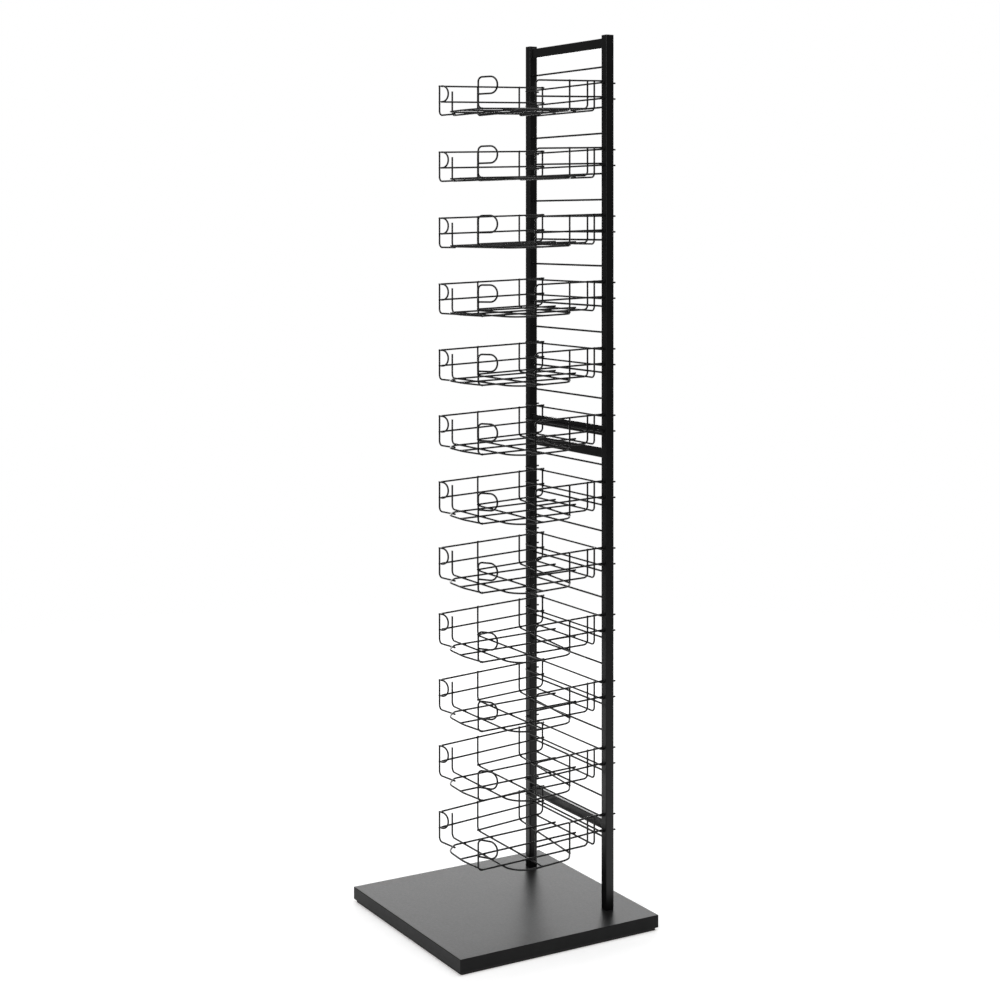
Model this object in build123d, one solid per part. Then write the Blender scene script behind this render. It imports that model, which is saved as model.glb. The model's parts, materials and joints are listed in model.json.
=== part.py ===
from build123d import *
from math import cos, radians, sqrt, tan
import os

# ---------------------------------------------------------------------------
# Floor-standing ladder rack with twelve wire baskets.
# Millimetres, +Z up. The origin is the bottom centre of the base, the baskets
# project towards -Y, and the ladder stands near the +Y edge of the base.
# ---------------------------------------------------------------------------

# Base slab
BASE_SIDE = 457.0
BASE_COVER_HEIGHT = 25.0
BASE_SHEET = 1.5
BASE_EDGE_RADIUS = 1.2
CORE_GAP = 0.3
PLINTH_HEIGHT = 6.0
PLINTH_INSET = 4.0
BASE_TOP = PLINTH_HEIGHT + BASE_COVER_HEIGHT

# Ladder frame
POST_SECTION = 19.0
POST_WALL = 1.5
POST_CORNER = 2.5
POST_X = 148.0
POST_Y = 159.0
POST_TOP = 1802.0
JOINT_Z = 978.0
CAP_THICKNESS = 2.0
CAP_PLUG_DEPTH = 12.0
CAP_PLUG_WALL = 1.9
PLUG_GAP = 0.1
CONNECTOR_LENGTH = 90.0
RAIL_HEIGHT = 20.0
RAIL_THICKNESS = 10.0
RAIL_CORNER = 1.5
RAIL_TOP_Z = 1788.0
RAIL_UPPER_BOTTOM_Z = 1000.0
RAIL_LOWER_TOP_Z = 955.0
RAIL_BOTTOM_Z = 200.0
RUNG_DIAMETER = 4.0

# Foot fixing
BOLT_DIAMETER = 8.0
BOLT_HOLE_DIAMETER = 8.6
BOLT_HEAD_DIAMETER = 13.0
BOLT_HEAD_HEIGHT = 8.0
BOLT_SOCKET_ACROSS_FLATS = 6.0
BOLT_SOCKET_DEPTH = 4.0
BOLT_GRIP_IN_INSERT = 18.0
WASHER_DIAMETER = 20.0
WASHER_THICKNESS = 2.0
WASHER_HOLE_DIAMETER = 8.4
INSERT_HEIGHT = 30.0
HEAD_RECESS_DIAMETER = 24.0
HEAD_RECESS_DEPTH = 10.0

# How far a cutting tool runs past the faces that it opens
CUT_OVERRUN = 1.0

# Tiers
TIER_COUNT = 12
TIER_PITCH = 135.0
LOWEST_TIER_Z = 225.0
RUNG_ABOVE = 30.0
RUNG_BELOW = -52.0
TIER_AT_JOINT = 6

# Basket wires, with z measured from the top wires of the basket at the hangers.
# The whole basket droops slightly from the hangers to its front.
WIRE = 3.6
WIRE_RADIUS = WIRE / 2
CORNER = 9.0
DROOP = 0.03
MID_Z = -32.0
FLOOR_Z = -56.0
CROSS_Z = FLOOR_Z - WIRE
HANGER_Y = 143.5
HANGER_BEND = 5.0
HANGER_TOP_Z = -WIRE
HANGER_MID_Z = MID_Z - WIRE
PRONG_BEHIND_POST = 9.0
PRONG_HOLE = 4.2
RAIL_END_Y = HANGER_Y + 3.0
LOOP_STRAIGHT = 1.0

# Basket outline in plan
FAR_FRONT = (-54.0, -119.0)
FAR_REAR_X = -76.0
FAR_LOOP_TIP = (-32.7, -110.3)
FAR_BEND = 5.0
FAR_UPRIGHT = (-53.9, -118.9)
FAR_UPRIGHT_RUN_END = (-1.0, -112.0)
NEAR_REAR_X = 148.7
NEAR_FRONT = (158.0, -18.4)
NEAR_LOOP_FOOT = (147.2, -143.0)
NEAR_LOOP_TIP = (185.0, -122.0)
NEAR_LOOP_END = (149.8, -141.5)
NEAR_LOOP_TOP = 5.0
NEAR_LOOP_BOTTOM = -28.0
FLOOR_WIRE_X = (-7.0, 71.0)
SIDE_FLOOR_X = NEAR_LOOP_FOOT[0]
SIDE_FLOOR_REAR_Y = 111.0
FLOOR_WIRE_REAR_Y = 132.0
MIDDLE_FLOOR_FRONT_Y = -138.3
LIP_START_Y = -111.0
LIP_MIDDLE = ((20.0, -137.0), (84.0, -141.0))
LIP_END_Y = -133.5
LIP_BENDS = (16.0, 40.0, 120.0)
FAR_FLOOR_FRONT = (-57.0, -28.0)
FAR_FLOOR_REAR = (-71.5, HANGER_Y - WIRE)
SILL_Y = 128.0
SILL_END_X = -75.5
CROSS_FRONT_Y = -22.0
CROSS_FRONT_END_X = 188.6
CROSS_REAR_FAR_Y = 84.0
CROSS_REAR_NEAR = (157.8, 61.8)
HOOP_FAR_Y = -85.5
HOOP_FAR_TOP = -10.0
HOOP_CORNER_FRONT = (195.0, -84.0)
HOOP_CORNER_SIDE = (186.0, 42.0)
HOOP_REAR = (157.1, 62.0)
HOOP_BENDS = (44.0, 28.0)

os.makedirs("parts", exist_ok=True)


def tier_z(tier):
    """Height of the top wires of a tier; tier 1 is the highest."""
    return LOWEST_TIER_Z + (TIER_COUNT - tier) * TIER_PITCH


def export(name, *solids):
    """Write one node: a single solid, or a group of separate solids."""
    shapes = [solid for item in solids for solid in item.solids()]
    node = shapes[0] if len(shapes) == 1 else Compound(children=shapes)
    node.label = name
    export_step(node, f"parts/{name}.step")
    return node


# --- Bent wires ------------------------------------------------------------

def bent_path(points, bends):
    """Straight runs through the points, joined by tangent arcs of the given radii."""
    corners = [Vector(*point) for point in points]
    edges = []
    start = corners[0]
    for before, corner, after, bend in zip(corners, corners[1:], corners[2:], bends):
        arriving = (corner - before).normalized()
        leaving = (after - corner).normalized()
        turn = radians(arriving.get_angle(leaving))
        reach = bend * tan(turn / 2)
        arc_start = corner - arriving * reach
        arc_end = corner + leaving * reach
        inward = (leaving - arriving).normalized()
        arc_middle = corner + inward * (bend / cos(turn / 2) - bend)
        edges.append(Line(start, arc_start))
        edges.append(ThreePointArc(arc_start, arc_middle, arc_end))
        start = arc_end
    edges.append(Line(start, corners[-1]))
    return Wire([edge.edge() for edge in edges])


def wire_solid(points, bends=(), diameter=WIRE):
    """A round wire bent along the points."""
    path = bent_path(points, bends)
    section = Plane(origin=path @ 0, z_dir=path % 0) * Circle(diameter / 2)
    return sweep(section, path=path)


def drooping_wire(points, bends=()):
    """A basket wire, lowered in proportion to its distance in front of the hangers."""
    return wire_solid([(x, y, z + DROOP * (y - HANGER_Y)) for x, y, z in points], bends)


def on_far_wall(y):
    """The x of the far wall's wires at a given y."""
    share = (y - FAR_FRONT[1]) / (RAIL_END_Y - FAR_FRONT[1])
    return FAR_FRONT[0] + share * (FAR_REAR_X - FAR_FRONT[0])


def on_near_wall(y):
    """The x of the near wall's wires at a given y."""
    share = (y - NEAR_FRONT[1]) / (RAIL_END_Y - NEAR_FRONT[1])
    return NEAR_FRONT[0] + share * (NEAR_REAR_X - NEAR_FRONT[0])


# --- The wires of one basket -----------------------------------------------

def hanger(z):
    """A crossbar in front of the posts, with a prong bent back through each post."""
    prong_tip = POST_Y + POST_SECTION / 2 + PRONG_BEHIND_POST
    return wire_solid(
        [(-POST_X, prong_tip, z), (-POST_X, HANGER_Y, z), (POST_X, HANGER_Y, z), (POST_X, prong_tip, z)],
        [HANGER_BEND, HANGER_BEND],
    )


def far_rail():
    """Top and mid wires of the far wall, joined by a round loop turned onto the front."""
    loop_bend = (-MID_Z - LOOP_STRAIGHT) / 2
    return drooping_wire(
        [
            (FAR_REAR_X, RAIL_END_Y, 0),
            (*FAR_FRONT, 0),
            (*FAR_LOOP_TIP, 0),
            (*FAR_LOOP_TIP, MID_Z),
            (*FAR_FRONT, MID_Z),
            (FAR_REAR_X, RAIL_END_Y, MID_Z),
        ],
        [FAR_BEND, loop_bend, loop_bend, FAR_BEND],
    )


def near_top_wire():
    """Top wire of the near wall, turned down to the floor at its front end."""
    return drooping_wire(
        [(NEAR_REAR_X, RAIL_END_Y, 0), (*NEAR_FRONT, 0), (*NEAR_FRONT, CROSS_Z)],
        [CORNER],
    )


def near_mid_wire():
    """Middle wire of the near wall, from the hanger to the upright of the top wire."""
    front_y = NEAR_FRONT[1] + WIRE_RADIUS
    return drooping_wire([(NEAR_REAR_X, RAIL_END_Y, MID_Z), (on_near_wall(front_y), front_y, MID_Z)])


def front_corner_wire():
    """Upright at the far front corner, then along the front under the lip wire."""
    return drooping_wire(
        [(*FAR_UPRIGHT, WIRE_RADIUS), (*FAR_UPRIGHT, CROSS_Z), (*FAR_UPRIGHT_RUN_END, CROSS_Z)],
        [CORNER],
    )


def lip_wire():
    """Floor wire whose front end curves forward into the lip of the front opening."""
    return drooping_wire(
        [
            (FLOOR_WIRE_X[0], FLOOR_WIRE_REAR_Y, FLOOR_Z),
            (FLOOR_WIRE_X[0], LIP_START_Y, FLOOR_Z),
            (*LIP_MIDDLE[0], FLOOR_Z),
            (*LIP_MIDDLE[1], FLOOR_Z),
            (SIDE_FLOOR_X - WIRE_RADIUS, LIP_END_Y, FLOOR_Z),
        ],
        LIP_BENDS,
    )


def side_floor_wire():
    """Floor wire by the near wall: up at the rear, and up into a round loop at the front."""
    loop_bend = (NEAR_LOOP_TOP - NEAR_LOOP_BOTTOM - LOOP_STRAIGHT) / 2
    return drooping_wire(
        [
            (SIDE_FLOOR_X, SIDE_FLOOR_REAR_Y, WIRE_RADIUS),
            (SIDE_FLOOR_X, SIDE_FLOOR_REAR_Y, FLOOR_Z),
            (*NEAR_LOOP_FOOT, FLOOR_Z),
            (*NEAR_LOOP_FOOT, NEAR_LOOP_TOP),
            (*NEAR_LOOP_TIP, NEAR_LOOP_TOP),
            (*NEAR_LOOP_TIP, NEAR_LOOP_BOTTOM),
            (*NEAR_LOOP_END, NEAR_LOOP_BOTTOM),
        ],
        [CORNER, CORNER, CORNER, loop_bend, loop_bend],
    )


def middle_floor_wire():
    """Straight floor wire from the lip to the rear sill."""
    x = FLOOR_WIRE_X[1]
    return drooping_wire([(x, FLOOR_WIRE_REAR_Y, FLOOR_Z), (x, MIDDLE_FLOOR_FRONT_Y, FLOOR_Z)])


def far_floor_wire():
    """Floor wire under the far wall, turned up to the hangers at the rear."""
    return drooping_wire(
        [(*FAR_FLOOR_FRONT, FLOOR_Z), (*FAR_FLOOR_REAR, FLOOR_Z), (*FAR_FLOOR_REAR, WIRE_RADIUS)],
        [CORNER],
    )


def cross_wire_front():
    """Cross wire under the floor, from an upright on the far wall to the bulged hoop."""
    upright_x = on_far_wall(CROSS_FRONT_Y) - WIRE
    return drooping_wire(
        [
            (upright_x, CROSS_FRONT_Y, WIRE_RADIUS),
            (upright_x, CROSS_FRONT_Y, CROSS_Z),
            (CROSS_FRONT_END_X, CROSS_FRONT_Y, CROSS_Z),
        ],
        [CORNER],
    )


def cross_wire_rear():
    """Cross wire under the floor, from an upright on the far wall to the near wall."""
    upright_x = on_far_wall(CROSS_REAR_FAR_Y) - WIRE
    return drooping_wire(
        [
            (upright_x, CROSS_REAR_FAR_Y, WIRE_RADIUS),
            (upright_x, CROSS_REAR_FAR_Y, CROSS_Z),
            (*CROSS_REAR_NEAR, CROSS_Z),
        ],
        [CORNER],
    )


def bulged_hoop():
    """Upright on the far wall, across the front, round the bulge and up at the near wall."""
    upright_x = on_far_wall(HOOP_FAR_Y) - WIRE
    return drooping_wire(
        [
            (upright_x, HOOP_FAR_Y, HOOP_FAR_TOP),
            (upright_x, HOOP_FAR_Y, CROSS_Z),
            (*HOOP_CORNER_FRONT, CROSS_Z),
            (*HOOP_CORNER_SIDE, CROSS_Z),
            (*HOOP_REAR, CROSS_Z),
            (*HOOP_REAR, WIRE_RADIUS),
        ],
        [CORNER, *HOOP_BENDS, CORNER],
    )


def rear_sill():
    """Upright at the rear of the near wall, then across under the floor wires."""
    upright_x = on_near_wall(SILL_Y) - WIRE
    return drooping_wire(
        [(upright_x, SILL_Y, WIRE_RADIUS), (upright_x, SILL_Y, CROSS_Z), (SILL_END_X, SILL_Y, CROSS_Z)],
        [CORNER],
    )


BASKET_WIRES = {
    "hanger_top": hanger(HANGER_TOP_Z),
    "hanger_mid": hanger(HANGER_MID_Z),
    "far_rail": far_rail(),
    "near_top": near_top_wire(),
    "near_mid": near_mid_wire(),
    "front_corner": front_corner_wire(),
    "lip": lip_wire(),
    "side_floor": side_floor_wire(),
    "middle_floor": middle_floor_wire(),
    "far_floor": far_floor_wire(),
    "cross_front": cross_wire_front(),
    "cross_rear": cross_wire_rear(),
    "hoop": bulged_hoop(),
    "sill": rear_sill(),
}


# --- Ladder frame ----------------------------------------------------------

def square_tube(bottom, top):
    """One length of post tube, standing on the post axis."""
    inner = POST_SECTION - 2 * POST_WALL
    profile = RectangleRounded(POST_SECTION, POST_SECTION, POST_CORNER)
    profile -= RectangleRounded(inner, inner, POST_CORNER - POST_WALL)
    return Pos(0, POST_Y, bottom) * extrude(profile, top - bottom)


def post(side, bottom, top):
    """A post tube with holes for the prongs of the baskets that it carries."""
    tube = Pos(side * POST_X, 0, 0) * square_tube(bottom, top)
    drill = Rot(90, 0, 0) * Cylinder(PRONG_HOLE / 2, POST_SECTION + 2 * CUT_OVERRUN)
    for tier in range(1, TIER_COUNT + 1):
        for prong_z in (HANGER_TOP_Z, HANGER_MID_Z):
            z = tier_z(tier) + prong_z
            if bottom < z < top:
                tube -= Pos(side * POST_X, POST_Y, z) * drill
    return tube


def rail(z):
    """A flat rail between the two posts."""
    length = 2 * POST_X - POST_SECTION
    profile = RectangleRounded(RAIL_THICKNESS, RAIL_HEIGHT, RAIL_CORNER)
    bar = extrude(Plane.YZ * profile, length / 2, both=True)
    return Pos(0, POST_Y, z) * bar


def rung(z):
    """A wire rung between the two posts."""
    length = 2 * POST_X - POST_SECTION
    return Pos(0, POST_Y, z) * (Rot(0, 90, 0) * Cylinder(RUNG_DIAMETER / 2, length))


def rungs(tiers):
    """The two rungs of each tier; the post joint takes the place of one of them."""
    heights = [tier_z(tier) + RUNG_ABOVE for tier in tiers]
    heights += [tier_z(tier) + RUNG_BELOW for tier in tiers if tier != TIER_AT_JOINT]
    return [rung(z) for z in heights]


def plug_section():
    """The outline that fits inside a post tube."""
    side = POST_SECTION - 2 * POST_WALL - 2 * PLUG_GAP
    return RectangleRounded(side, side, POST_CORNER - POST_WALL)


def post_cap():
    """A cap with a hollow plug that fits in the open tube top."""
    lid = extrude(RectangleRounded(POST_SECTION, POST_SECTION, POST_CORNER), CAP_THICKNESS)
    lid = fillet(lid.faces().sort_by(Axis.Z)[-1].edges(), CAP_THICKNESS / 2)
    plug = extrude(plug_section(), -CAP_PLUG_DEPTH)
    side = POST_SECTION - 2 * POST_WALL - 2 * PLUG_GAP - 2 * CAP_PLUG_WALL
    hollow = Pos(0, 0, -CAP_PLUG_DEPTH) * extrude(Rectangle(side, side), CAP_PLUG_DEPTH)
    return Pos(0, POST_Y, POST_TOP) * (lid + plug - hollow)


def post_connector():
    """A solid spigot that joins an upper post to a lower one."""
    spigot = extrude(plug_section(), CONNECTOR_LENGTH)
    drill = Rot(90, 0, 0) * Cylinder(PRONG_HOLE / 2, POST_SECTION + 2 * CUT_OVERRUN)
    bottom = JOINT_Z - CONNECTOR_LENGTH / 2
    spigot = Pos(0, POST_Y, bottom) * spigot
    for prong_z in (HANGER_TOP_Z, HANGER_MID_Z):
        z = tier_z(TIER_AT_JOINT) + prong_z
        if bottom < z < bottom + CONNECTOR_LENGTH:
            spigot -= Pos(0, POST_Y, z) * drill
    return spigot


def foot_insert():
    """A threaded plug in the foot of a post."""
    plug = extrude(plug_section(), INSERT_HEIGHT)
    bore = Cylinder(BOLT_DIAMETER / 2, 2 * (INSERT_HEIGHT + CUT_OVERRUN))
    return Pos(0, POST_Y, BASE_TOP) * (plug - bore)


def at_both_posts(solid):
    """The same piece on the left post and on the right post."""
    return [Pos(side * POST_X, 0, 0) * solid for side in (-1, 1)]


# --- Base ------------------------------------------------------------------

def bore_at_posts(solid, diameter, bottom, top):
    """Cut a round hole under each post."""
    for side in (-1, 1):
        hole = Cylinder(diameter / 2, top - bottom)
        solid -= Pos(side * POST_X, POST_Y, (bottom + top) / 2) * hole
    return solid


def base_cover():
    """A folded sheet cover, open underneath."""
    outer = Pos(0, 0, PLINTH_HEIGHT) * extrude(Rectangle(BASE_SIDE, BASE_SIDE), BASE_COVER_HEIGHT)
    sharp = outer.edges().filter_by(Axis.Z) + outer.faces().sort_by(Axis.Z)[-1].edges()
    outer = fillet(sharp, BASE_EDGE_RADIUS)
    inner_side = BASE_SIDE - 2 * BASE_SHEET
    inner_height = BASE_COVER_HEIGHT - BASE_SHEET
    inner = Pos(0, 0, PLINTH_HEIGHT) * extrude(Rectangle(inner_side, inner_side), inner_height)
    return bore_at_posts(outer - inner, BOLT_HOLE_DIAMETER, PLINTH_HEIGHT, BASE_TOP + CUT_OVERRUN)


def base_core_board():
    """The board that fills the cover, recessed for the bolt heads."""
    side = BASE_SIDE - 2 * BASE_SHEET - 2 * CORE_GAP
    height = BASE_COVER_HEIGHT - BASE_SHEET
    board = Pos(0, 0, PLINTH_HEIGHT) * extrude(Rectangle(side, side), height)
    underside = PLINTH_HEIGHT - CUT_OVERRUN
    board = bore_at_posts(board, BOLT_HOLE_DIAMETER, underside, BASE_TOP)
    return bore_at_posts(board, HEAD_RECESS_DIAMETER, underside, PLINTH_HEIGHT + HEAD_RECESS_DEPTH)


def base_plinth():
    """The inset plate on which the rack stands, open under the bolt heads."""
    side = BASE_SIDE - 2 * PLINTH_INSET
    plate = extrude(RectangleRounded(side, side, PLINTH_INSET), PLINTH_HEIGHT)
    return bore_at_posts(plate, HEAD_RECESS_DIAMETER, -CUT_OVERRUN, PLINTH_HEIGHT + CUT_OVERRUN)


def base_bolt():
    """A socket-head bolt, head down, from the recess up into the foot insert."""
    head_top = PLINTH_HEIGHT + HEAD_RECESS_DEPTH - WASHER_THICKNESS
    head_bottom = head_top - BOLT_HEAD_HEIGHT
    head = Pos(0, 0, head_bottom) * extrude(Circle(BOLT_HEAD_DIAMETER / 2), BOLT_HEAD_HEIGHT)
    shank_length = BASE_TOP + BOLT_GRIP_IN_INSERT - head_top
    shank = Pos(0, 0, head_top) * extrude(Circle(BOLT_DIAMETER / 2), shank_length)
    socket_radius = BOLT_SOCKET_ACROSS_FLATS / sqrt(3)
    socket = Pos(0, 0, head_bottom) * extrude(RegularPolygon(socket_radius, 6), BOLT_SOCKET_DEPTH)
    return Pos(0, POST_Y, 0) * (head + shank - socket)


def base_washer():
    """The washer between a bolt head and the core board."""
    bottom = PLINTH_HEIGHT + HEAD_RECESS_DEPTH - WASHER_THICKNESS
    ring = Circle(WASHER_DIAMETER / 2) - Circle(WASHER_HOLE_DIAMETER / 2)
    return Pos(0, POST_Y, bottom) * extrude(ring, WASHER_THICKNESS)


# --- Nodes -----------------------------------------------------------------

UPPER_TIERS = range(1, TIER_AT_JOINT + 1)
LOWER_TIERS = range(TIER_AT_JOINT + 1, TIER_COUNT + 1)

export("base_cover", base_cover())
export("base_core_board", base_core_board())
export("base_plinth", base_plinth())
export("base_bolts", *at_both_posts(base_bolt()))
export("base_washers", *at_both_posts(base_washer()))
export("post_foot_inserts", *at_both_posts(foot_insert()))
export("post_lower_left", post(-1, BASE_TOP, JOINT_Z))
export("post_lower_right", post(1, BASE_TOP, JOINT_Z))
export("post_upper_left", post(-1, JOINT_Z, POST_TOP))
export("post_upper_right", post(1, JOINT_Z, POST_TOP))
export("post_connectors", *at_both_posts(post_connector()))
export("post_caps", *at_both_posts(post_cap()))
export("rail_top", rail(RAIL_TOP_Z))
export("rail_upper_bottom", rail(RAIL_UPPER_BOTTOM_Z))
export("rail_lower_top", rail(RAIL_LOWER_TOP_Z))
export("rail_bottom", rail(RAIL_BOTTOM_Z))
export("rungs_upper", *rungs(UPPER_TIERS))
export("rungs_lower", *rungs(LOWER_TIERS))

for tier in range(1, TIER_COUNT + 1):
    wires = [Pos(0, 0, tier_z(tier)) * wire for wire in BASKET_WIRES.values()]
    export(f"basket_{tier:02d}", *wires)
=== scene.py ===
import json
import math
import random

import bmesh
import bpy
from mathutils import Matrix, Vector
from mathutils.bvhtree import BVHTree
from mathutils.geometry import intersect_line_line


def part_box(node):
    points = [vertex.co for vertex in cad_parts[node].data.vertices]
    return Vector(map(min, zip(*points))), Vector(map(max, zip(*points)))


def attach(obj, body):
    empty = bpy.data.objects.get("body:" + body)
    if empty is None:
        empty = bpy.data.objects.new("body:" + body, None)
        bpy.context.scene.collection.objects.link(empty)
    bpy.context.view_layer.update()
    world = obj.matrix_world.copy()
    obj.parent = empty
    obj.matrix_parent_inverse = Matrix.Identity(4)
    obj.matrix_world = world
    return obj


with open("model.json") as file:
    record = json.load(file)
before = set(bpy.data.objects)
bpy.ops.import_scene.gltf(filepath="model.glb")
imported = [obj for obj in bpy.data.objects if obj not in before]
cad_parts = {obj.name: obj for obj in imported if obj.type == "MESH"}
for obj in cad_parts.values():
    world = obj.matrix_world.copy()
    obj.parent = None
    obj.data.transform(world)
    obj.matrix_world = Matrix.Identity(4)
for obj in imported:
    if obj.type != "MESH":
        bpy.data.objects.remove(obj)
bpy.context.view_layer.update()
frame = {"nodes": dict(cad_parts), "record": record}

# ---------------------------------------------------------------------------
# Driving dimensions, in metres, as in the CAD.
# ---------------------------------------------------------------------------

FRAME_BODY = "rack_frame"
TIER_COUNT = 12
TIER_PITCH = 0.135
LOWEST_TIER_Z = 0.225
TIER_AT_JOINT = 6
RUNG_ABOVE = 0.030
RUNG_BELOW = -0.052
RUNG_RADIUS = 0.002
POST_INNER_X = 0.1385
POST_Y = 0.159
RAIL_HALF_HEIGHT = 0.010
RAIL_HALF_THICKNESS = 0.005
RAIL_CORNER = 0.0015

# Basket wires, with z from the basket's top wires at the hangers
WIRE = 0.0036
DROOP = 0.03
MID_Z = -0.032
FLOOR_Z = -0.056
CROSS_Z = FLOOR_Z - WIRE
HANGER_X = 0.148
HANGER_Y = 0.1435
HANGER_TOP_Z = -WIRE
HANGER_MID_Z = MID_Z - WIRE
RAIL_END_Y = 0.1465
FAR_FRONT = (-0.054, -0.119)
FAR_REAR_X = -0.076
FAR_LOOP_TIP = (-0.0327, -0.1103)
FAR_UPRIGHT = (-0.0539, -0.1189)
FAR_UPRIGHT_RUN_END = (-0.001, -0.112)
NEAR_FRONT = (0.158, -0.0184)
NEAR_REAR_X = 0.1487
NEAR_MID_FRONT_Y = -0.0166
NEAR_LOOP_FOOT = (0.1472, -0.143)
NEAR_LOOP_TIP = (0.185, -0.122)
NEAR_LOOP_END = (0.1498, -0.1415)
NEAR_LOOP_TOP = 0.005
NEAR_LOOP_BOTTOM = -0.028
SIDE_FLOOR_REAR_Y = 0.111
LIP = ((-0.007, 0.132), (-0.007, -0.111), (0.020, -0.137), (0.084, -0.141), (0.1454, -0.1335))
MIDDLE_FLOOR = ((0.071, 0.132), (0.071, -0.1383))
FAR_FLOOR = ((-0.057, -0.028), (-0.0715, 0.1399))
CROSS_FRONT_Y = -0.022
CROSS_FRONT_END_X = 0.1886
CROSS_REAR_FAR_Y = 0.084
CROSS_REAR_NEAR = (0.1578, 0.0618)
SILL_Y = 0.128
SILL_END_X = -0.0755
HOOP_FAR_Y = -0.0855
HOOP_FAR_TOP = -0.010
HOOP_CORNERS = ((0.195, -0.084), (0.186, 0.042))
HOOP_REAR = (0.1571, 0.062)

# Camera: level, with its lens shifted to hold the rack's foot in the frame
CAMERA_PLACE = (3.317, -1.963, 1.4195)
CAMERA_TURN = 1.038
LENS_MM = 67.55
SENSOR_MM = 36.0
SHIFT_UP = -0.2756

CLIP_END = 60.0

# Stage: the floor fades out between two distances from the object
FLOOR_RADIUS = 4.0
FLOOR_SIDES = 96
FLOOR_FADE = (1.0, 3.2)
FLOOR_GLOW = 0.32
GLOW_ON_OBJECT = 0.18

# Softboxes: name, place, aim, width, height, watts
SOFTBOXES = (
    ("softbox_back", (-3.1, 1.7, 1.2), (0, 0, 0.2), 3.6, 1.3, 72),
    ("softbox_key", (1.7, -3.2, 2.6), (0, 0, 0.8), 0.8, 2.4, 45),
    ("softbox_top", (0.2, 0.2, 3.8), (0, 0, 0), 2.8, 2.8, 90),
)

# Welds between basket wires
NUGGET_REACH = 0.00235
NUGGET_DEPTH = 0.00165
NUGGET_SIZES = (0.9, 1.08)
NUGGET_ROUGHNESS = 0.00012
WELD_TOUCH = 1.18 * WIRE
WELD_APART = 0.004

# Weld beads round the rungs and rails of the ladder
BEAD_SIDES = 8
BEAD_CLEARANCE = 0.0002
BEAD_FLATNESS = 0.9
RUNG_BEAD = 0.0009
RUNG_BEAD_STEPS = 24
RAIL_BEAD = 0.0014
RAIL_BEAD_STEPS = 16
RIPPLE_LENGTH = 0.0017
RIPPLE_DEPTH = 0.16
RIPPLE_JITTER = 0.05
SEED = 35

# Noise scales that the powder coats share, in turns per metre
COAT_CLOUD_SCALE = 30.0
COAT_GLOSS_SCALE = 160.0


def tier_z(tier):
    """Height of the top wires of a tier; tier 1 is the highest."""
    return LOWEST_TIER_Z + (TIER_COUNT - tier) * TIER_PITCH


# --- Materials -------------------------------------------------------------

def new_material(name):
    """An empty node material: its tree, its shader and a texture of object positions."""
    material = bpy.data.materials.new(name)
    material.use_nodes = True
    tree = material.node_tree
    shader = tree.nodes["Principled BSDF"]
    place = tree.nodes.new("ShaderNodeTexCoord").outputs["Object"]
    return material, tree, shader, place


def noise(tree, place, scale, detail=3.0, roughness=0.5):
    """A noise texture's value."""
    node = tree.nodes.new("ShaderNodeTexNoise")
    node.inputs["Scale"].default_value = scale
    node.inputs["Detail"].default_value = detail
    node.inputs["Roughness"].default_value = roughness
    tree.links.new(place, node.inputs["Vector"])
    return node.outputs["Fac"]


def spread(tree, value, low, high, start=0.3, end=0.7):
    """The value stretched from start..end to low..high."""
    node = tree.nodes.new("ShaderNodeMapRange")
    node.inputs["From Min"].default_value = start
    node.inputs["From Max"].default_value = end
    node.inputs["To Min"].default_value = low
    node.inputs["To Max"].default_value = high
    tree.links.new(value, node.inputs["Value"])
    return node.outputs["Result"]


def two_tones(tree, value, dark, light):
    """A colour that runs from dark to light with the value."""
    node = tree.nodes.new("ShaderNodeMix")
    node.data_type = "RGBA"
    node.inputs["A"].default_value = (*dark, 1)
    node.inputs["B"].default_value = (*light, 1)
    tree.links.new(value, node.inputs["Factor"])
    return node.outputs["Result"]


def bump(tree, heights, distance, strength):
    """A surface normal from a height value."""
    node = tree.nodes.new("ShaderNodeBump")
    node.inputs["Strength"].default_value = strength
    node.inputs["Distance"].default_value = distance
    tree.links.new(heights, node.inputs["Height"])
    return node.outputs["Normal"]


def powder_coat(name, tones, roughness, peel_scale, peel_depth, specular=0.3):
    """Baked powder paint on steel: an orange-peel skin with slightly uneven gloss."""
    material, tree, shader, place = new_material(name)
    cloud = spread(tree, noise(tree, place, COAT_CLOUD_SCALE), 0.0, 1.0)
    tree.links.new(two_tones(tree, cloud, *tones), shader.inputs["Base Color"])
    gloss = spread(tree, noise(tree, place, COAT_GLOSS_SCALE), *roughness)
    tree.links.new(gloss, shader.inputs["Roughness"])
    peel = bump(tree, noise(tree, place, peel_scale, detail=2.0), peel_depth, strength=0.6)
    tree.links.new(peel, shader.inputs["Normal"])
    shader.inputs["Specular IOR Level"].default_value = specular
    return material


def base_coat():
    """The base's fine satin coat."""
    tones = ((0.0095, 0.0095, 0.0097), (0.0125, 0.0125, 0.0128))
    return powder_coat(
        "base_coat_paint", tones, roughness=(0.35, 0.40),
        peel_scale=900.0, peel_depth=0.00010, specular=0.09,
    )


def frame_coat():
    """The ladder's satin coat."""
    tones = ((0.0025, 0.0025, 0.0026), (0.0042, 0.0042, 0.0044))
    return powder_coat(
        "frame_coat_paint", tones, roughness=(0.28, 0.36), peel_scale=1100.0, peel_depth=0.00005
    )


def wire_coat():
    """The baskets' satin coat."""
    tones = ((0.0022, 0.0022, 0.0023), (0.0038, 0.0038, 0.0040))
    return powder_coat(
        "wire_coat_paint", tones, roughness=(0.28, 0.38), peel_scale=1400.0, peel_depth=0.00003
    )


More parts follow.
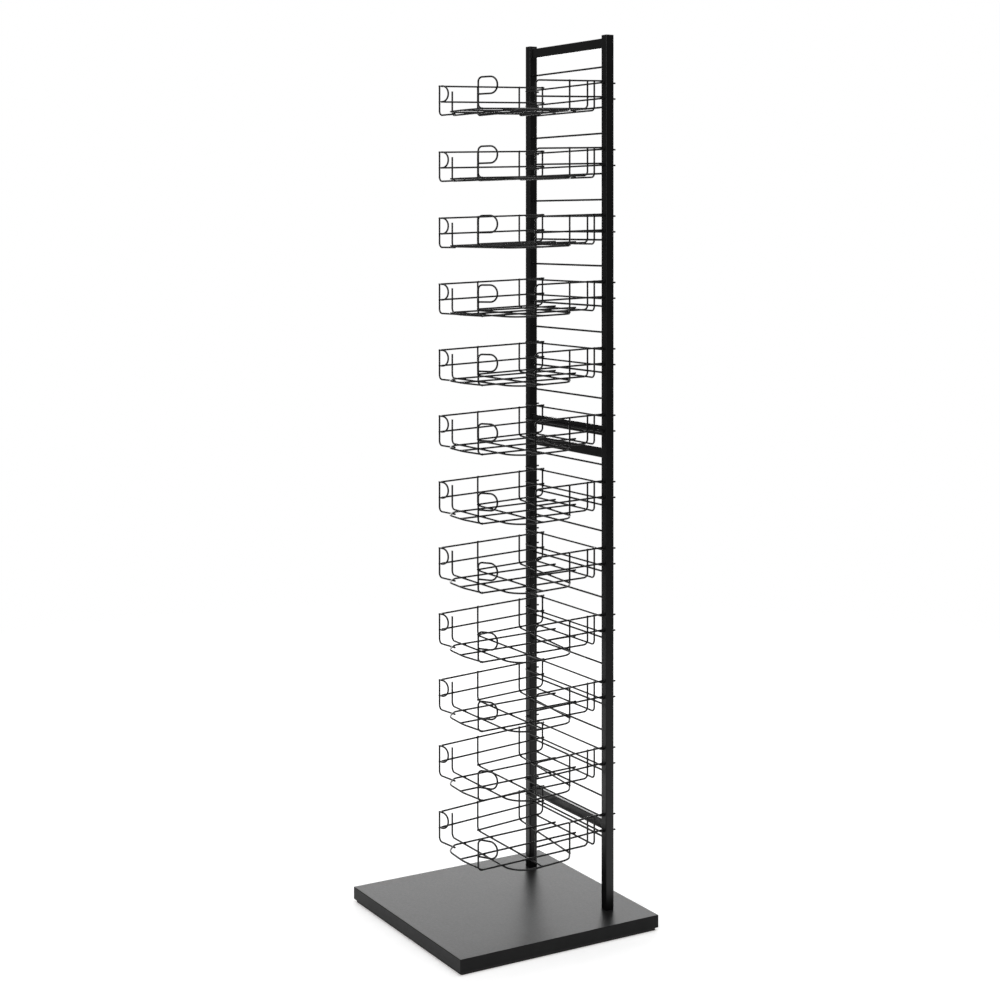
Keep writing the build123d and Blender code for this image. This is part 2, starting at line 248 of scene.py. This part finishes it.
def cap_plastic():
    """Moulded black plastic with a fine grain."""
    material, tree, shader, place = new_material("moulded_cap_plastic")
    cloud = spread(tree, noise(tree, place, 60.0), 0.0, 1.0)
    black = two_tones(tree, cloud, (0.006, 0.006, 0.006), (0.010, 0.010, 0.010))
    tree.links.new(black, shader.inputs["Base Color"])
    tree.links.new(spread(tree, noise(tree, place, 300.0), 0.45, 0.6), shader.inputs["Roughness"])
    tree.links.new(bump(tree, noise(tree, place, 1800.0), 0.00004, 0.5), shader.inputs["Normal"])
    return material


def plinth_board():
    """Matte black board with the cells of an anti-slip face."""
    material, tree, shader, place = new_material("anti_slip_plinth")
    cells = tree.nodes.new("ShaderNodeTexVoronoi")
    cells.inputs["Scale"].default_value = 260.0
    tree.links.new(place, cells.inputs["Vector"])
    tone = spread(tree, cells.outputs["Distance"], 0.0, 1.0, start=0.0, end=0.8)
    black = two_tones(tree, tone, (0.008, 0.008, 0.008), (0.018, 0.018, 0.018))
    tree.links.new(black, shader.inputs["Base Color"])
    tree.links.new(spread(tree, noise(tree, place, 200.0), 0.75, 0.9), shader.inputs["Roughness"])
    tree.links.new(bump(tree, cells.outputs["Distance"], 0.0003, 0.7), shader.inputs["Normal"])
    return material


def core_fibreboard():
    """Raw brown fibreboard."""
    material, tree, shader, place = new_material("core_fibreboard")
    fibres = noise(tree, place, 420.0, detail=6.0, roughness=0.7)
    brown = two_tones(tree, spread(tree, fibres, 0.0, 1.0), (0.28, 0.19, 0.11), (0.46, 0.34, 0.22))
    tree.links.new(brown, shader.inputs["Base Color"])
    tree.links.new(spread(tree, noise(tree, place, 120.0), 0.8, 0.95), shader.inputs["Roughness"])
    tree.links.new(bump(tree, fibres, 0.0002, 0.6), shader.inputs["Normal"])
    return material


def zinc_steel():
    """Bright zinc plate with a cloudy bloom."""
    material, tree, shader, place = new_material("zinc_plated_steel")
    bloom = spread(tree, noise(tree, place, 160.0, detail=4.0), 0.0, 1.0)
    zinc = two_tones(tree, bloom, (0.50, 0.52, 0.55), (0.66, 0.67, 0.68))
    tree.links.new(zinc, shader.inputs["Base Color"])
    tree.links.new(spread(tree, noise(tree, place, 700.0), 0.28, 0.45), shader.inputs["Roughness"])
    tree.links.new(bump(tree, noise(tree, place, 2500.0), 0.00003, 0.4), shader.inputs["Normal"])
    shader.inputs["Metallic"].default_value = 1.0
    return material


PAINTS = {
    "base_coat": base_coat(),
    "frame_coat": frame_coat(),
    "wire_coat": wire_coat(),
    "cap_plastic": cap_plastic(),
    "plinth_plastic": plinth_board(),
    "core_board": core_fibreboard(),
    "zinc_hardware": zinc_steel(),
}


def paint_cad_nodes():
    """Give every CAD node the paint of its slot in the record."""
    for part in frame["record"]["subparts"]:
        for slot in frame["nodes"][part["node"]].material_slots:
            slot.material = PAINTS[part["material_slot"]]


# --- The wires' centre lines -----------------------------------------------

def between(start, end, y):
    """The x at y of a straight wire from start to end, in plan."""
    return start[0] + (end[0] - start[0]) * (y - start[1]) / (end[1] - start[1])


def far_wall_x(y):
    """The x of the far wall's wires at y."""
    return between(FAR_FRONT, (FAR_REAR_X, RAIL_END_Y), y)


def near_wall_x(y):
    """The x of the near wall's wires at y."""
    return between(NEAR_FRONT, (NEAR_REAR_X, RAIL_END_Y), y)


def at_height(points, z):
    """Points in plan, lifted to z."""
    return [(x, y, z) for x, y in points]


def level_lines():
    """The centre line of each wire that is welded to another, before it droops."""
    top = WIRE / 2
    far_rail = [(FAR_REAR_X, RAIL_END_Y), FAR_FRONT, FAR_LOOP_TIP]
    near_rear = (NEAR_REAR_X, RAIL_END_Y)
    near_mid_front = (near_wall_x(NEAR_MID_FRONT_Y), NEAR_MID_FRONT_Y)
    side_rear = (NEAR_LOOP_FOOT[0], SIDE_FLOOR_REAR_Y)
    side_floor = [side_rear, NEAR_LOOP_FOOT]
    front_leg = (far_wall_x(CROSS_FRONT_Y) - WIRE, CROSS_FRONT_Y)
    rear_leg = (far_wall_x(CROSS_REAR_FAR_Y) - WIRE, CROSS_REAR_FAR_Y)
    sill_leg = (near_wall_x(SILL_Y) - WIRE, SILL_Y)
    hoop_leg = (far_wall_x(HOOP_FAR_Y) - WIRE, HOOP_FAR_Y)
    hoop_plan = [hoop_leg, *HOOP_CORNERS, HOOP_REAR]
    return [
        at_height(far_rail, 0),
        at_height(far_rail, MID_Z),
        [(*near_rear, 0), (*NEAR_FRONT, 0), (*NEAR_FRONT, CROSS_Z)],
        at_height([near_rear, near_mid_front], MID_Z),
        [(*FAR_UPRIGHT, top), (*FAR_UPRIGHT, CROSS_Z), (*FAR_UPRIGHT_RUN_END, CROSS_Z)],
        at_height(LIP, FLOOR_Z),
        [(*side_rear, top), *at_height(side_floor, FLOOR_Z), (*NEAR_LOOP_FOOT, NEAR_LOOP_TOP)],
        at_height([NEAR_LOOP_END, NEAR_LOOP_TIP], NEAR_LOOP_BOTTOM),
        at_height(MIDDLE_FLOOR, FLOOR_Z),
        [(*FAR_FLOOR[0], FLOOR_Z), (*FAR_FLOOR[1], FLOOR_Z), (*FAR_FLOOR[1], top)],
        [(*front_leg, top), (*front_leg, CROSS_Z), (CROSS_FRONT_END_X, CROSS_FRONT_Y, CROSS_Z)],
        [(*rear_leg, top), (*rear_leg, CROSS_Z), (*CROSS_REAR_NEAR, CROSS_Z)],
        [(*hoop_leg, HOOP_FAR_TOP), *at_height(hoop_plan, CROSS_Z), (*HOOP_REAR, top)],
        [(*sill_leg, top), (*sill_leg, CROSS_Z), (SILL_END_X, SILL_Y, CROSS_Z)],
    ]


def basket_lines():
    """The centre lines of one basket: two level crossbars and the drooping wires."""
    crossbars = [
        at_height([(-HANGER_X, HANGER_Y), (HANGER_X, HANGER_Y)], z)
        for z in (HANGER_TOP_Z, HANGER_MID_Z)
    ]
    drooping = [[(x, y, z + DROOP * (y - HANGER_Y)) for x, y, z in line] for line in level_lines()]
    return crossbars + drooping


# --- Welds on the baskets --------------------------------------------------

def held_within(point, start, end):
    """The point of a straight run nearest to a point on its line."""
    run = end - start
    share = max(0.0, min(1.0, (point - start).dot(run) / run.length_squared))
    return start + run * share


def nearest_on_runs(first, second):
    """Where two straight runs come nearest to each other, or None if they are parallel."""
    met = intersect_line_line(*first, *second)
    if met is None:
        return None
    on_first = held_within(met[0], *first)
    on_second = held_within(on_first, *second)
    return held_within(on_second, *first), on_second


def weld_places(lines):
    """The middle and the direction of each weld: where two wires cross and touch."""
    runs = [[(Vector(a), Vector(b)) for a, b in zip(line, line[1:])] for line in lines]
    places = []
    for index, wire in enumerate(runs):
        for other in runs[index + 1:]:
            for first in wire:
                for second in other:
                    near = nearest_on_runs(first, second)
                    if near is None or (near[0] - near[1]).length > WELD_TOUCH:
                        continue
                    middle = (near[0] + near[1]) / 2
                    if all((middle - place).length > WELD_APART for place, _ in places):
                        places.append((middle, near[1] - near[0]))
    return places


def on_the_wires(places, node, drop):
    """The places that lie on the node's own surface, once lowered by drop."""
    tree = BVHTree.FromObject(frame["nodes"][node], bpy.context.evaluated_depsgraph_get())
    kept = []
    for middle, across in places:
        _, _, _, distance = tree.find_nearest(middle + drop)
        if distance is not None and distance < WIRE / 2:
            kept.append((middle, across))
    return kept


def nugget(mesh, middle, across, dice):
    """A resistance weld: a lens of metal squeezed out between two wires."""
    axis = across if across.length > WIRE / 4 else Vector((0, 0, 1))
    turn = axis.to_track_quat("Z", "Y")
    made = bmesh.ops.create_icosphere(mesh, subdivisions=2, radius=1.0)
    size = dice.uniform(*NUGGET_SIZES)
    for vertex in made["verts"]:
        x, y, z = vertex.co
        shaped = Vector((x * NUGGET_REACH, y * NUGGET_REACH, z * NUGGET_DEPTH)) * size
        shaped += vertex.co * dice.uniform(-NUGGET_ROUGHNESS, NUGGET_ROUGHNESS)
        vertex.co = turn @ shaped + middle


def basket_weld_mesh():
    """All the welds of one basket, with z from the basket's top wires."""
    dice = random.Random(SEED)
    node, drop = "basket_01", Vector((0, 0, tier_z(1)))
    mesh = bmesh.new()
    for middle, across in on_the_wires(weld_places(basket_lines()), node, drop):
        nugget(mesh, middle, across, dice)
    for face in mesh.faces:
        face.smooth = True
    data = bpy.data.meshes.new("basket_welds")
    mesh.to_mesh(data)
    mesh.free()
    return data


def add_basket_welds():
    """The same welds on every basket, each riding on its own basket."""
    data = basket_weld_mesh()
    for tier in range(1, TIER_COUNT + 1):
        basket = f"basket_{tier:02d}"
        place_piece(f"{basket}_welds", data, f"{basket}_body", "wire_coat", tier_z(tier))


def place_piece(name, data, body, slot, height=0.0):
    """A piece made of the mesh, at a height, riding on a body and painted as its slot."""
    piece = bpy.data.objects.new(name, data.copy())
    piece.data.transform(Matrix.Translation((0, 0, height)))
    piece.data.materials.append(PAINTS[slot])
    bpy.context.scene.collection.objects.link(piece)
    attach(piece, body)
    return piece


# --- Welds on the ladder ---------------------------------------------------

def ring(radius, count):
    """Points round a rung's end, as (y, z)."""
    turns = [2 * math.pi * step / count for step in range(count)]
    return [(radius * math.cos(turn), radius * math.sin(turn)) for turn in turns]


def rail_outline(grow, per_side):
    """Points round a rail's end, as (y, z), with its corners rounded off."""
    half_y, half_z = RAIL_HALF_THICKNESS + grow, RAIL_HALF_HEIGHT + grow
    corners = [(-half_y, -half_z), (half_y, -half_z), (half_y, half_z), (-half_y, half_z)]
    points = []
    for here, there in zip(corners, corners[1:] + corners[:1]):
        start, end = Vector(here), Vector(there)
        inset = (end - start).normalized() * RAIL_CORNER
        for step in range(per_side):
            points.append((start + inset).lerp(end - inset, step / (per_side - 1)))
    return [tuple(point) for point in points]


def bead(mesh, x, side, outline, centre_z, radius, dice):
    """A weld bead that runs round a closed outline on a post's inner face."""
    count = len(outline)
    rings = []
    along = 0.0
    for index, (y, z) in enumerate(outline):
        before, after = Vector(outline[index - 1]), Vector(outline[(index + 1) % count])
        forward = (after - before).normalized()
        outward = Vector((forward.y, -forward.x))
        along += (Vector((y, z)) - before).length
        wave = RIPPLE_DEPTH * math.sin(2 * math.pi * along / RIPPLE_LENGTH)
        size = radius * (1 + wave + dice.uniform(-RIPPLE_JITTER, RIPPLE_JITTER))
        rings.append([
            mesh.verts.new((
                x - side * size * math.sin(turn) * BEAD_FLATNESS,
                POST_Y + y + outward.x * size * math.cos(turn),
                centre_z + z + outward.y * size * math.cos(turn),
            ))
            for turn in (2 * math.pi * step / BEAD_SIDES for step in range(BEAD_SIDES))
        ])
    for here, there in zip(rings, rings[1:] + rings[:1]):
        for step in range(BEAD_SIDES):
            after = (step + 1) % BEAD_SIDES
            mesh.faces.new((here[step], here[after], there[after], there[step]))


def rung_heights(tiers):
    """Heights of the rungs of some tiers; the tier at the joint has no lower rung."""
    heights = [tier_z(tier) + RUNG_ABOVE for tier in tiers]
    return heights + [tier_z(tier) + RUNG_BELOW for tier in tiers if tier != TIER_AT_JOINT]


def ladder_welds(name, tiers, rails):
    """The beads at both ends of the rungs and rails of one half of the ladder."""
    dice = random.Random(SEED + len(name))
    mesh = bmesh.new()
    for side in (-1, 1):
        x = side * POST_INNER_X
        for height in rung_heights(tiers):
            outline = ring(RUNG_RADIUS + BEAD_CLEARANCE, RUNG_BEAD_STEPS)
            bead(mesh, x, side, outline, height, RUNG_BEAD, dice)
        for rail in rails:
            lo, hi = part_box(rail)
            outline = rail_outline(BEAD_CLEARANCE, RAIL_BEAD_STEPS)
            bead(mesh, x, side, outline, (lo.z + hi.z) / 2, RAIL_BEAD, dice)
    bmesh.ops.recalc_face_normals(mesh, faces=mesh.faces)
    for face in mesh.faces:
        face.smooth = True
    data = bpy.data.meshes.new(name)
    mesh.to_mesh(data)
    mesh.free()
    place_piece(name, data, FRAME_BODY, "frame_coat")


# --- Stage, light and camera -----------------------------------------------

def pale_floor():
    """A wide pale floor that fades into the white around it."""
    mesh = bmesh.new()
    bmesh.ops.create_circle(mesh, cap_ends=True, radius=FLOOR_RADIUS, segments=FLOOR_SIDES)
    data = bpy.data.meshes.new("studio_floor")
    mesh.to_mesh(data)
    mesh.free()
    floor = bpy.data.objects.new("studio_floor", data)
    data.materials.append(floor_paper())
    bpy.context.scene.collection.objects.link(floor)


def floor_paper():
    """Pale seamless paper, thinning out to nothing far from the object."""
    material, tree, shader, place = new_material("studio_floor_paper")
    paper = two_tones(tree, noise(tree, place, 3.0), (0.90, 0.90, 0.90), (0.92, 0.92, 0.92))
    tree.links.new(paper, shader.inputs["Base Color"])
    shader.inputs["Roughness"].default_value = 0.9
    shader.inputs["Specular IOR Level"].default_value = 0.1
    shader.inputs["Emission Color"].default_value = (1, 1, 1, 1)
    shader.inputs["Emission Strength"].default_value = FLOOR_GLOW
    away = tree.nodes.new("ShaderNodeVectorMath")
    away.operation = "LENGTH"
    tree.links.new(place, away.inputs[0])
    fade = spread(tree, away.outputs["Value"], 0.0, 1.0, *FLOOR_FADE)
    clear = tree.nodes.new("ShaderNodeBsdfTransparent")
    mix = tree.nodes.new("ShaderNodeMixShader")
    tree.links.new(fade, mix.inputs["Fac"])
    tree.links.new(shader.outputs[0], mix.inputs[1])
    tree.links.new(clear.outputs[0], mix.inputs[2])
    tree.links.new(mix.outputs[0], tree.nodes["Material Output"].inputs["Surface"])
    return material


def softbox(name, place, aim, width, height, watts):
    """A rectangular soft light aimed at a point."""
    data = bpy.data.lights.new(name, "AREA")
    data.shape = "RECTANGLE"
    data.size, data.size_y = width, height
    data.energy = watts
    light = bpy.data.objects.new(name, data)
    light.location = place
    light.rotation_euler = (Vector(aim) - Vector(place)).to_track_quat("-Z", "Y").to_euler()
    light.visible_camera = False
    bpy.context.scene.collection.objects.link(light)


def white_surroundings():
    """White where the camera looks, and a dimmer even glow on the object."""
    world = bpy.data.worlds.new("white_studio")
    world.use_nodes = True
    tree = world.node_tree
    seen = tree.nodes["Background"]
    seen.inputs["Color"].default_value = (1, 1, 1, 1)
    seen.inputs["Strength"].default_value = 1.0
    glow = tree.nodes.new("ShaderNodeBackground")
    glow.inputs["Color"].default_value = (1, 1, 1, 1)
    glow.inputs["Strength"].default_value = GLOW_ON_OBJECT
    path = tree.nodes.new("ShaderNodeLightPath")
    mix = tree.nodes.new("ShaderNodeMixShader")
    tree.links.new(path.outputs["Is Camera Ray"], mix.inputs["Fac"])
    tree.links.new(glow.outputs[0], mix.inputs[1])
    tree.links.new(seen.outputs[0], mix.inputs[2])
    tree.links.new(mix.outputs[0], tree.nodes["World Output"].inputs["Surface"])
    bpy.context.scene.world = world


def add_camera():
    """The camera at the photograph's viewing angle."""
    data = bpy.data.cameras.new("camera")
    data.lens = LENS_MM
    data.sensor_width = SENSOR_MM
    data.shift_y = SHIFT_UP
    data.clip_end = CLIP_END
    camera = bpy.data.objects.new("camera", data)
    camera.location = CAMERA_PLACE
    camera.rotation_euler = (math.pi / 2, 0, CAMERA_TURN)
    bpy.context.scene.collection.objects.link(camera)
    bpy.context.scene.camera = camera


# --- The scene ---------------------------------------------------------------

upper_tiers = range(1, TIER_AT_JOINT + 1)
lower_tiers = range(TIER_AT_JOINT + 1, TIER_COUNT + 1)

paint_cad_nodes()
add_basket_welds()
ladder_welds("ladder_welds_upper", upper_tiers, ["rail_top", "rail_upper_bottom"])
ladder_welds("ladder_welds_lower", lower_tiers, ["rail_lower_top", "rail_bottom"])
pale_floor()
white_surroundings()
for box in SOFTBOXES:
    softbox(*box)
add_camera()
bpy.context.scene.view_settings.view_transform = "Standard"
